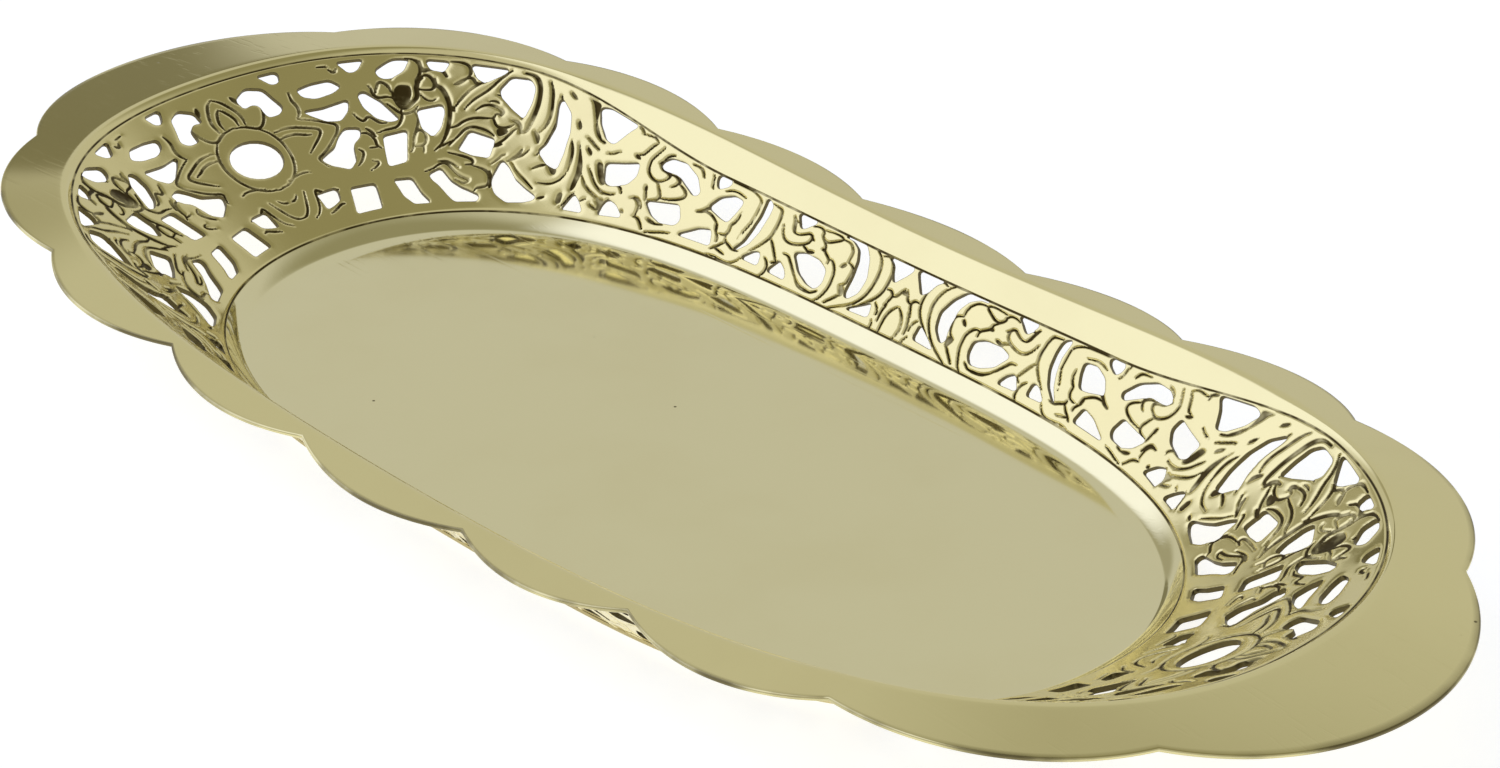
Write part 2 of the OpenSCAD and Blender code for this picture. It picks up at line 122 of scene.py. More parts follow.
# Chased lines of one quarter, in the same measure, by the tool that cut them.
CHASED = [
    [(2.6, .65), (3.5, .61), (4.1, .55), (4.2, .48), (3.8, .41), (3, .36), (1.6, .32), (0, .31)],
    [(0, .805), (.35, .79), (.7, .76), (.95, .73), (.85, .7)],
    [(0, .87), (.6, .85), (1.1, .81), (1.55, .77), (1.75, .73), (1.6, .69)],
    [(0, .69), (1, .685), (1.8, .67), (2.5, .65), (3.1, .655), (3.6, .675), (4.05, .71),
     (4.25, .75), (4.05, .78)],
    [(4, .605), (5, .61), (6.2, .605), (7.5, .585), (9.2, .56), (8.4, .51), (7.3, .47), (6.4, .44)],
    [(7.15, .64), (8.5, .62), (10, .59), (11, .57), (10.8, .53), (10, .49), (9, .45), (8, .42),
     (6.9, .4), (7.3, .37), (7.6, .345)],
    [(7.15, .64), (7.6, .665), (7.7, .7), (7.3, .74), (7.4, .79)],
    [(4, .56), (5, .57), (6.2, .565), (7.2, .545), (7.9, .54)],
    [(0, .135), (.7, .14), (1.4, .165), (2, .21), (2.6, .265)],
    [(1.9, .115), (2.8, .135), (3.4, .17), (3.7, .21), (4, .255), (4.6, .24), (5.1, .22),
     (6, .215), (6.6, .23), (7.1, .22)],
    [(4.3, .11), (5.5, .125), (6.5, .145), (7, .14)],
    [(11.3, .32), (12.1, .345), (12.8, .39), (12.2, .41)],
    [(13, .62), (13.5, .58), (13.95, .565), (14.5, .6), (15.1, .57), (15.6, .545), (16.3, .545)],
    [(12.6, .5), (13.6, .5), (14.1, .49), (14.55, .45), (14.5, .42), (15, .4)],
    [(13.9, .525), (14.4, .5), (14.7, .47)],
    [(12.2, .88), (12.6, .855), (12.9, .88)],
    [(15, .49), (16, .505), (17.2, .51), (17.8, .54), (18.2, .58), (18.2, .61)],
    [(15.5, .77), (15.8, .75), (15.7, .73), (16, .7), (16.5, .695), (17.2, .7), (17.7, .69)],
    [(15.9, .71), (16.3, .75), (16.7, .785), (17.2, .78), (17.7, .75), (17.8, .71)],
    [(16.9, .66), (17.4, .63), (18.1, .59), (19, .59), (19.8, .61), (20.1, .63)],
    [(19.5, .93), (20.5, .91), (21, .88), (21, .83), (20.5, .79), (20.3, .74)],
    [(20.6, .78), (21.2, .82), (21.8, .82), (22.3, .78), (22.2, .74), (21.6, .73), (20.6, .735)],
    [(19.7, .6), (19.85, .54), (19.4, .49), (18.95, .45), (18.8, .4), (18.4, .37)],
    [(19, .45), (19.4, .485), (20, .49), (20.4, .46), (20.3, .42), (19.9, .4), (19, .4)],
    [(19.8, .255), (21, .27), (22, .3), (22.8, .3), (23.6, .26), (24.4, .225), (25.3, .205),
     (26.1, .195), (25.2, .17), (24, .2)],
    [(24, .915), (25.2, .92), (25.85, .9), (25.9, .85), (25.3, .81)],
    [(25.1, .81), (25.8, .83), (26.2, .82), (26.4, .79), (27.2, .81)],
    [(24, .61), (24.9, .68), (25.8, .745), (26.6, .79), (27.4, .81)],
    [(25.3, .62), (26.1, .675), (27, .72), (28, .77), (28.9, .84), (29.8, .89), (30.4, .92)],
    [(26.6, .62), (27.3, .655), (28.2, .67), (29.2, .66), (29.8, .64)],
    [(23.2, .5), (24.2, .51), (25.2, .55), (26.5, .575), (27.8, .58), (28.7, .59)],
    [(23.1, .4), (24.2, .45), (25.2, .5), (26.2, .52), (27.3, .515), (28.2, .505), (29, .48)],
    [(29, .74), (30, .735), (31.2, .7), (32.2, .665), (32.4, .62)],
    [(28.8, .6), (28.9, .57), (29.3, .54), (30.2, .54), (31.1, .56), (31.5, .58)],
    [(28.5, .41), (29.5, .435), (30.4, .47), (31.2, .52), (31.9, .56)],
    [(28.8, .3), (29.6, .33), (30.2, .365), (30.6, .37)],
    [(23, .36), (24.5, .345), (25.8, .33), (26.4, .31), (26.2, .29), (25.3, .29)],
    [(26.2, .285), (27.5, .27), (28.4, .25), (28.8, .21), (28.7, .16), (27.8, .15), (27, .145),
     (26.7, .125)],
    [(35, .9), (35.4, .85), (35.6, .76), (35.75, .68), (35.5, .61), (34.8, .56)],
    [(36.6, .83), (36.8, .75), (36.65, .63), (36.1, .52), (35.4, .44), (34.8, .4)],
    [(37.7, .87), (38.4, .84)],
    [(39.3, .34), (38.8, .28), (38, .24), (37, .215), (35.5, .215)],
    [(41.2, .35), (42, .28), (43, .24), (44.2, .21), (45.1, .19)],
    [(42.2, .4), (42.6, .37), (43.2, .32), (44.2, .27), (45.1, .25), (46.5, .255)],
    [(40.9, .605), (41.5, .59), (42.2, .56), (43.1, .535)],
    [(42.7, .61), (43.5, .595)],
    [(34.4, .3), (35.4, .33), (36.3, .345)],
    [(36, .115), (36.5, .12), (36.9, .13)],
    [(39.6, .08), (40.1, .125), (40.6, .18), (41, .2)],
    [(43.6, .15), (44, .13), (44.6, .12), (44.9, .11)],
    [(47.2, .8), (47.7, .8), (48.1, .775), (48, .745)],
    [(50.5, .735), (50, .7), (49.5, .65), (49.1, .61), (48.5, .6)],
    [(51.6, .725), (51.2, .68), (50.6, .62), (50.4, .58), (50.6, .52), (51.2, .48), (52.2, .455),
     (52.9, .47), (53.5, .5)],
    [(52, .59), (52.1, .64), (52.6, .68), (53.3, .695)],
    [(52.5, .45), (52.9, .41), (53.4, .355), (53.2, .32), (52.5, .3), (51.8, .29)],
    [(53.7, .55), (54.6, .55), (55.2, .52), (55, .48), (54.4, .45)],
    [(55.2, .5), (56, .48), (56.6, .45), (56.7, .41), (56, .375), (54.8, .345), (53.5, .335)],
    [(51.2, .36), (51.4, .32), (51.5, .28)],
    [(49.3, .27), (50.2, .275), (50.7, .24), (50.85, .19), (50.7, .14)],
    [(50.5, .135), (51.4, .125), (51.9, .09), (52.4, .05)],
    [(45, .32), (46, .33), (47, .34), (47.6, .32), (47.8, .285)],
    [(56, .69), (57.3, .69), (57.7, .66), (58, .62)],
    [(59.8, .36), (60.7, .365), (61.5, .345), (62.2, .31)],
    [(62.4, .25), (62.9, .22), (63, .17)],
    [(65, .48), (64.9, .42), (64.6, .37), (64.2, .35), (64.3, .3), (64, .25), (63.1, .24)],
    [(64, .25), (64.2, .2), (65, .18), (65.6, .155), (66.4, .16)],
    [(64.2, .19), (63.5, .145), (63, .12), (62.6, .09)],
    [(63, .12), (64, .1), (64.7, .085)],
    [(68.5, .665), (69.2, .66), (69.8, .655), (70.1, .6), (70.2, .5), (70.1, .42), (69.8, .36),
     (69, .28), (68, .2)],
    [(70.1, .38), (70.6, .34), (71.2, .27), (71.8, .2)],
    [(70.2, .2), (70.7, .17), (71, .12), (70.9, .06), (70.4, .01)],
    [(72.6, .52), (73.1, .51), (74, .545), (74.5, .57), (75, .55), (75, .5), (74.6, .46),
     (74, .435), (73, .41), (72.3, .41), (71.7, .43), (71.2, .48), (70.9, .54)],
    [(74.3, .44), (75, .42), (75.2, .4)],
    [(74.4, .64), (75, .66), (75.8, .66), (76.2, .63), (76.1, .6), (76.6, .56), (77.3, .56),
     (78.2, .6), (78.9, .64), (78.6, .67), (77.5, .67), (76.3, .655)],
    [(76.7, .555), (77.2, .52), (77.2, .48), (77.8, .45), (78.4, .42), (78.3, .37)],
    [(72.4, .3), (73.1, .3), (73.7, .25), (74.4, .19), (75.2, .13)],
    [(77.8, .085), (78.5, .13)],
    [(78.2, .42), (78.8, .43), (79.4, .39), (79.8, .33), (79.85, .22), (79.5, .14), (79.1, .06),
     (78.5, .01)],
    [(79, .65), (80, .65), (80.7, .6), (81, .54), (80.9, .47)],
    [(81, .475), (81.8, .46), (82, .42), (81.9, .34), (81.7, .29), (81, .26)],
    [(81.7, .2), (81.1, .15), (80.4, .09), (80, .05)],
    [(81, .03), (82, .08), (83.5, .15), (84.4, .23), (85, .32), (85.3, .45), (85.1, .56),
     (84.5, .65), (83.8, .71)],
    [(84.6, .67), (85.1, .695), (85.7, .69), (86.2, .65), (86.7, .57), (86.8, .46), (86.6, .37),
     (86.1, .3), (85.5, .25), (84.5, .18), (83.2, .1)],
    [(87, .42), (87.5, .43), (88, .39), (87.7, .33), (87.4, .27)],
    [(88, .38), (88.5, .4), (88.8, .45), (89.1, .49)],
    [(89.1, .31), (88.5, .26), (88.1, .19), (88, .1), (88.2, .02)],
    [(87.7, .3), (87.3, .2), (87.3, .1)],
]
FINE = [
    [(1.6, .335), (3, .35), (4.2, .355), (5, .345)],
    [(.1, .235), (.8, .235), (1.4, .26)],
    [(13.3, .335), (14.1, .33), (13.9, .31), (12.6, .285)],
    [(13.6, .41), (14.5, .41)],
    [(11.2, .905), (12.2, .9)],
    [(18, .79), (18.4, .82), (18.9, .835)],
    [(20.7, .705), (21.2, .67), (21.8, .66), (22.3, .68)],
    [(20, .4), (19.9, .36)],
    [(21.2, .37), (22, .4), (22.7, .44)],
    [(21.9, .39), (22.8, .41), (23.6, .43)],
    [(21.6, .31), (22.6, .315), (23.4, .3), (24.5, .27)],
    [(29.7, .62), (29, .62), (28.8, .58)],
    [(28.1, .69), (28.7, .7), (29.3, .69)],
    [(32.2, .36), (33, .38), (33.8, .43)],
    [(31.6, .32), (32.5, .26), (33.6, .22), (35, .17)],
    [(44.2, .53), (45, .54), (46, .575)],
    [(42.1, .15), (42.9, .175)],
    [(48.1, .755), (49.3, .765), (50, .765), (50.4, .74)],
    [(53.8, .12), (55, .14)],
    [(52.8, .035), (54, .05), (55.2, .075), (56.4, .09)],
    [(45, .245), (46.2, .25), (47, .265)],
    [(59.1, .7), (59.4, .65), (59.5, .58), (59.8, .56)],
    [(62, .69), (64, .695), (65.5, .69), (66.7, .65), (67, .6), (66.9, .52), (66.9, .45),
     (66.5, .38), (66.1, .32), (66, .26)],
    [(61.5, .58), (62.3, .61), (63.3, .62), (64.6, .6)],
    [(62.5, .03), (63.5, .04), (64.5, .025), (65.8, .02), (66.6, .05), (67.2, .11)],
    [(71.7, .2), (71.2, .17)],
    [(72.1, .62), (72.8, .62)],
    [(75, .54), (75.4, .52)],
    [(86.2, .27), (86.8, .22), (86.9, .15)],
    [(86.7, .1), (87, .05), (86.9, .01)],
]
DEEP = [
    [(1.9, .85), (2.15, .82), (2.35, .8)],
    [(17.8, .7), (18, .65), (18.5, .62), (19.2, .63), (19.8, .66), (20.4, .69), (20.4, .75),
     (20.8, .79), (21.1, .8)],
    [(20.9, .9), (21.1, .84), (22, .86), (23, .865), (23.5, .82)],
    [(22.3, .8), (22.4, .76), (22.9, .75), (23.4, .7), (23.7, .63), (23.5, .56), (23.1, .49),
     (22.6, .44), (21.9, .39)],
    [(25.4, .82), (24.8, .79), (24.3, .775)],
    [(24.1, .605), (23.7, .63)],
    [(29.3, .655), (29.9, .64), (29.7, .615)],
    [(31.2, .6), (31.9, .595), (32.3, .57), (32.4, .53)],
    [(28.4, .41), (29.3, .425), (30, .435)],
    [(31.1, .33), (31.9, .355), (32.4, .38), (32.8, .42)],
    [(31.9, .95), (33.2, .93), (33.8, .86), (33.95, .76), (33.8, .67), (33.4, .58), (33, .54),
     (32.4, .54)],
    [(28.7, .25), (29.1, .2), (29, .15)],
    [(34.2, .56), (34.7, .53), (34.8, .49)],
    [(39.3, .7), (39.7, .65)],
    [(39.1, .55), (39.5, .49), (39.55, .42), (39.3, .34)],
    [(41.4, .53), (42.1, .49)],
    [(41.4, .72), (42, .65), (42.7, .61)],
    [(48.1, .59), (48.8, .575)],
    [(53.5, .5), (53.75, .535), (53.4, .555), (52.4, .565), (52, .59)],
    [(51.7, .6), (52.1, .615)],
    [(55, .54), (55.3, .51)],
    [(51.05, .4), (51.2, .36)],
    [(49.8, .28), (50.4, .28), (50.9, .25), (51.2, .21)],
    [(52.6, .145), (53.2, .13), (53.8, .125)],
    [(45.8, .12), (45.95, .17), (46.2, .215)],
    [(48.5, .15), (48.9, .14)],
    [(58.9, .335), (59.7, .355), (60.3, .4), (60.9, .41)],
    [(62.2, .31), (62.4, .25)],
    [(71.7, .65), (72.1, .61), (72.3, .55), (72.6, .52)],
    [(75.1, .4), (76, .42)],
    [(76.9, .48), (77.3, .485)],
    [(75.2, .13), (75.9, .09), (77, .08), (77.8, .085)],
    [(80.8, .45), (80.3, .41)],
]
# Small patches between the leaves, sunk as deep as the chased lines and darkened with them.
DARK_PATCHES = [
    [(18, .73), (18.6, .765), (19.8, .76), (19.9, .72), (19.3, .65), (18.6, .635), (18, .67)],
    [(29.2, .53), (30.4, .535), (30.9, .53), (30.4, .5), (29.4, .48)],
    [(40.1, .56), (40.7, .48), (41.1, .42), (41.3, .35), (41, .29), (40.7, .22), (40.2, .2),
     (40.2, .26), (40.5, .33), (40.5, .41), (40.4, .48)],
    [(43.1, .455), (44, .455), (44.5, .37), (45.1, .31), (44.3, .31), (43.6, .37)],
    [(40, .9), (41.6, .91), (41.45, .82), (41.4, .74), (41.7, .68), (41.1, .76), (40.5, .86)],
    [(36.3, .35), (37.6, .34), (37.8, .3), (37.2, .28)],
    [(38.7, .18), (39.4, .18), (39.4, .1), (38.6, .1)],
    [(44.2, .19), (45, .2), (45.6, .2), (45.5, .12), (44.9, .1), (44.9, .15)],
    [(80.9, .26), (81.6, .28), (82, .22), (81.6, .17)],
    [(88.7, .44), (89.1, .48), (89.5, .44)],
]
SIDE_STRETCH = 1 + .8 / 90
# Half widths of the three sizes of chased line, in millimetres, and how much wider the tool cut
# at the ends and on the sides.
FINE_HALF, CHASED_HALF, DEEP_HALF = .22, .29, .44
END_TOOL, SIDE_TOOL = 1.3, .92
# Millimetres that the file took off inside each sawn opening.
OPENING_EASE = .22
# Grid spacing along the panels and rows up them.
END_CELL, END_ROWS, SIDE_CELL, SIDE_ROWS = .00036, 130, .00037, 84
# Millimetres from an edge over which the relief rises, the share of it that shows on the back,
# the dark line along the borders (place, half width, depth) and the flat strip outside it.
PILLOW_RUN, BACK_SHARE = .38, .3
BORDER_LINE, BORDER_HALF, BORDER_DARK, BORDER_FLAT = .3, .28, .9, .4
# Points nearer an opening's outline than this count as inside the sheet, against thin slivers.
SLIVER = .02

# Degrees from the end of the four notches, flange widths there and lobe swells between, in mm.
NOTCH_ANGLE = (14.8, 35.8, 57.0, 78.4)
NOTCH_WIDTH = (13.1, 7.0, 3.0, 3.6)
LOBE_SWELL = (11.0, 4.0, 5.5, 5.5, 5.5)
# Stations where the brazed beads start and end: on the pan, low and high on the wall, on the rim.
PAN_BEAD, LOW_BEAD, HIGH_BEAD, RIM_BEAD = 0.7, 1.05, 1.97, 2.25
# Height of the beads' crowns, and half the turn in degrees that an upright bead takes.
BEAD_CROWN, JOINT_HALF = .0009, .3
# How much lower the rim sits, to stay inside the tray's stated height, and how far the crest
# is eased, at most this share of the cove where the cove is narrow.
RIM_SETTLE = .00004
CREST_EASE, CREST_EASE_SHARE = .0014, .4


def length_of(name, description, default):
    """A length that the panel shows and the pieces read."""
    return bpy.props.FloatProperty(
        name=name, description=description, default=default, unit="LENGTH")


def number_of(name, description, default):
    """A plain number, such as an exponent or an angle."""
    return bpy.props.FloatProperty(name=name, description=description, default=default)


def share_of(name, description, default):
    """A share between a half and one."""
    return bpy.props.FloatProperty(
        name=name, description=description, default=default, subtype="FACTOR", min=0.5, max=1)


def colour_of(name, description, default):
    """A colour as red, green and blue from 0 to 1."""
    return bpy.props.FloatVectorProperty(
        name=name, description=description, default=default, size=3, subtype="COLOR",
        min=0, max=1)


class TraySizes(bpy.types.PropertyGroup):
    """Sizes of the tray"""
    foot_half_len: length_of(
        "Foot half length", "Half length of the line where the wall starts", 0.120)
    foot_half_wid: length_of(
        "Foot half width", "Half width of the line where the wall starts", 0.0594)
    foot_square: number_of("Foot squareness", "Squareness of the foot line towards its ends", 3.36)
    foot_round: number_of("Foot roundness", "Roundness of the foot line across its ends", 2.08)
    foot_run: length_of("Foot band run", "Plan width of the plain foot band", 0.004)
    foot_rise: length_of("Foot band rise", "Height of the foot line above the floor", 0.0027)
    end_reach: length_of("End reach", "Plan reach of the wall at the ends", 0.045)
    side_reach: length_of(
        "Side reach", "Plan reach of the wall at the middle of the sides", 0.0142)
    crest_square: number_of(
        "Crest squareness", "Squareness of the crest line towards its ends", 4.2)
    crest_round: number_of("Crest roundness", "Roundness of the crest line across its ends", 2.12)
    side_height: length_of("Side height", "Height of the crest at the middle of the sides", 0.0214)
    end_lift: length_of("End lift", "Extra height of the crest at the ends", 0.0058)
    lift_swell: length_of("Lift swell", "Fullness of that lift between side and end", 0.0099)
    band_side: share_of(
        "Band on the sides", "Share of the wall that is pierced on the sides", 0.72)
    band_end: share_of("Band at the ends", "Share of the wall that is pierced at the ends", 0.955)
    panel_joint: number_of("Panel joint", "Degrees from the end where the wall panels meet", 39.2)
    flange_fall: number_of("Flange fall", "Fall of the flange for each unit of its width", 0.11)
    cove_swell: length_of("Cove swell", "Swell of the plain cove", 0.00035)
    sheet: length_of("Sheet", "Thickness of the sheet", 0.001)
    pillow: length_of("Relief", "Height of the raised leaves, petals and scrolls", 0.00020)
    groove: length_of("Chased line depth", "Depth of the chased lines", 0.00028)


class TrayColours(bpy.types.PropertyGroup):
    """Colours of the tray"""
    brass: colour_of("Polished brass", "Colour of freshly polished brass", (0.86, 0.78, 0.40))
    floor: colour_of("Floor brass", "Paler brass of the buffed floor", (0.89, 0.83, 0.50))
    wall: colour_of("Wall brass", "Deeper brass of the chased wall", (0.86, 0.77, 0.38))
    dulled: colour_of(
        "Dulled brass", "Colour where handling has dulled the polish", (0.74, 0.64, 0.31))
    # Painted shade: this dark colour also darkens the walls of the openings and a thin strip round
    # them, besides the film in the chased lines.
    tarnish_and_shade: colour_of(
        "Tarnish", "Dark film left in chased lines and corners", (0.07, 0.05, 0.015))
    brazing: colour_of("Brazing", "Colour of the brazed seams", (0.50, 0.42, 0.20))
    stage: colour_of("Stage", "Colour of the floor under the tray", (0.62, 0.62, 0.58))


# ---------------------------------------------------------------- shape of the sheet

class Form:
    """The tray's own surface: every point of its upper face from a turn angle and a station.
    Station 0-1 foot band, 1-2 pierced band, 2-3 plain cove, 3-4 flange."""

    def __init__(self, s):
        for key in s.bl_rna.properties.keys():
            if key not in ("rna_type", "name"):
                setattr(self, key, getattr(s, key))
        self.crest_len = self.foot_half_len + self.end_reach
        self.crest_wid = self.foot_half_wid + self.side_reach
        self.knots = np.array([-NOTCH_ANGLE[0], *NOTCH_ANGLE, 180 - NOTCH_ANGLE[-1]])
        self.widths = np.array([NOTCH_WIDTH[0], *NOTCH_WIDTH, NOTCH_WIDTH[-1]]) * MM
        self.swells = np.array(LOBE_SWELL) * MM

    @staticmethod
    def fold(t):
        """Angle from the nearer end, 0 to 90 degrees."""
        a = np.mod(t, 360.0)
        b = np.where(a > 180, 360 - a, a)
        return np.where(b > 90, 180 - b, b)

    def foot(self, t):
        """Foot line x = a cos t, y = b (1 - |cos t|^p)^(1/q), with its outward direction."""
        c, s = np.cos(np.radians(t)), np.sin(np.radians(t))
        k = np.clip(1 - np.abs(c) ** self.foot_square, 0, None) ** (1 / self.foot_round)
        x, y = self.foot_half_len * c, self.foot_half_wid * np.sign(s) * k
        gx = (self.foot_square * np.sign(c) * np.abs(c) ** (self.foot_square - 1)
              / self.foot_half_len)
        gy = self.foot_round * np.sign(s) * k ** (self.foot_round - 1) / self.foot_half_wid
        g = np.hypot(gx, gy)
        return x, y, gx / g, gy / g

    def reach(self, x, y, nx, ny):
        """Distance to the crest line |x/a|^p + |y/b|^q = 1 along the outward direction,
        by halving."""
        lo, hi = np.zeros_like(x), np.full_like(x, 2 * (self.end_reach + self.side_reach))
        for _ in range(34):
            m = (lo + hi) / 2
            inside = (np.abs((x + nx * m) / self.crest_len) ** self.crest_square
                      + np.abs((y + ny * m) / self.crest_wid) ** self.crest_round) < 1
            lo, hi = np.where(inside, m, lo), np.where(inside, hi, m)
        return (lo + hi) / 2

    def band(self, t):
        """Share of the wall under the cove: an S-curve from end value to side value."""
        f = np.clip((self.fold(t) - 32) / 30, 0, 1)
        return self.band_end + (self.band_side - self.band_end) * f * f * (3 - 2 * f)

    def flange(self, t):
        """Flange width: straight growth between notches plus a parabola for each lobe."""
        q = self.fold(t)
        i = np.clip(np.searchsorted(self.knots, q + 1e-9, side="right") - 1, 0, 4)
        f = (q - self.knots[i]) / (self.knots[i + 1] - self.knots[i])
        return (self.widths[i] * (1 - f) + self.widths[i + 1] * f
                + 4 * self.swells[i] * f * (1 - f))

    def at(self, t, s):
        """Point of the upper face for broadcast arrays of turn angle and station."""
        t, s = np.asarray(t, float), np.asarray(s, float)
        x, y, nx, ny = self.foot(t)
        d = self.reach(x, y, nx, ny)
        b, w = self.band(t), self.flange(t)
        u = np.minimum(1.05, ((x + nx * d) / self.crest_len) ** 2)
        crest = self.side_height + self.end_lift * u + self.lift_swell * u * (1 - u)
        share = np.where(s <= 2, (s - 1) * b, b + (1 - b) * (np.minimum(s, 3) - 2))
        out = np.where(s <= 1, self.foot_run * (s - 1),
                       np.where(s <= 3, d * share, d + w * (s - 3)))
        swell = np.where(s > 2, np.sin(np.pi * np.clip(s - 2, 0, 1)), 0) * self.cove_swell
        z = np.where(s <= 1, self.foot_rise * np.clip(s, 0, 1) ** 1.5,
                     np.where(s <= 3, self.foot_rise + (crest - self.foot_rise) * share + swell,
                              crest - self.flange_fall * w * (s - 3)))
        return np.stack(np.broadcast_arrays(x + nx * out, y + ny * out, z + self.sheet), -1)

    def down(self, t, s):
        """Unit normal of the under side, from differences along both parameters."""
        t, s = np.asarray(t, float), np.asarray(s, float)
        n = np.cross(self.at(t + .4, s) - self.at(t - .4, s),
                     self.at(t, s + .02) - self.at(t, s - .02))
        return n / np.linalg.norm(n, axis=-1, keepdims=True)

    def even_turns(self, a, b, step, s):
        """Turn angles from a to b that are evenly spaced along the line at station s."""
        t = np.linspace(a, b, 1601)
        p = self.at(t, np.full_like(t, s))
        run = np.concatenate([[0], np.cumsum(np.linalg.norm(np.diff(p, axis=0), axis=1))])
        n = max(2, int(round(run[-1] / step)))
        return np.interp(np.linspace(0, run[-1], n + 1), run, t)


def add_mesh(name, verts, tris=None, quads=None, attributes=None, sharp=35):
    """A mesh object at the origin from arrays of points and faces, smooth but for its corners."""
    faces, counts = [], []
    for block in (tris, quads):
        if block is not None and len(block):
            faces.append(np.asarray(block, np.int32).ravel())
            counts.append(np.full(len(block), block.shape[1], np.int32))
    loops, sizes = np.concatenate(faces), np.concatenate(counts)
    mesh = bpy.data.meshes.new(name)
    mesh.vertices.add(len(verts))
    mesh.vertices.foreach_set("co", np.asarray(verts, np.float32).ravel())
    mesh.loops.add(len(loops))
    mesh.loops.foreach_set("vertex_index", loops)
    mesh.polygons.add(len(sizes))
    starts = np.concatenate([[0], np.cumsum(sizes)[:-1]]).astype(np.int32)
    mesh.polygons.foreach_set("loop_start", starts)
    mesh.polygons.foreach_set("loop_total", sizes)
    mesh.update(calc_edges=True)
    mesh.validate()
    for key, values in (attributes or {}).items():
        layer = mesh.attributes.new(key, "FLOAT", "POINT")
        layer.data.foreach_set("value", np.asarray(values, np.float32))
    mesh.shade_smooth()
    mesh.set_sharp_from_angle(angle=math.radians(sharp))
    obj = bpy.data.objects.new(name, mesh)
    bpy.context.scene.collection.objects.link(obj)
    return obj


def ring_faces(n, m, close=True):
    """Quads of a grid of n columns joined in a ring and m rows, joined too if close is set."""
    i, j = np.meshgrid(np.arange(n), np.arange(m if close else m - 1), indexing="ij")
    k, l = (i + 1) % n, (j + 1) % m
    return np.stack([i * m + j, i * m + l, k * m + l, k * m + j], -1).reshape(-1, 4)


def hand(piece, node):
    """Every piece rides on the tray's one body and stands for its node, whose own part is hidden.
    """
    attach(piece, "root")
    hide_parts(node)


# ---------------------------------------------------------------- pattern of the wall

def rounded(points, reach=.45):
    """Closed outline with each corner cut at the same short reach on both its sides, then cut
    again at half of that, so that straight sides stay straight."""
    p = np.asarray(points, float)
    for cut in (reach, reach / 2):
        step = np.roll(p, -1, axis=0) - p
        length = np.maximum(np.linalg.norm(step, axis=1, keepdims=True), 1e-9)
        share = np.minimum(cut / length, .3)
        p = np.stack([p + step * share, p + step * (1 - share)], 1).reshape(-1, 2)
    return p


def eased(points, passes=2):
    """Open line with its corners cut, its two ends kept."""
    p = np.asarray(points, float)
    for _ in range(passes):
        a, b = p[:-1], p[1:]
        mid = np.stack([.75 * a + .25 * b, .25 * a + .75 * b], 1).reshape(-1, 2)
        p = np.concatenate([p[:1], mid[1:-1], p[-1:]]) if len(p) > 2 else p
    return p


def line_distance(u, w, a, b):
    """Distance from points (u, w) to the straight piece from a to b, and how far along it the
    nearest place is."""
    d = b - a
    f = np.clip(((u - a[0]) * d[0] + (w - a[1]) * d[1]) / max(d @ d, 1e-12), 0, 1)
    return np.hypot(u - a[0] - f * d[0], w - a[1] - f * d[1]), f


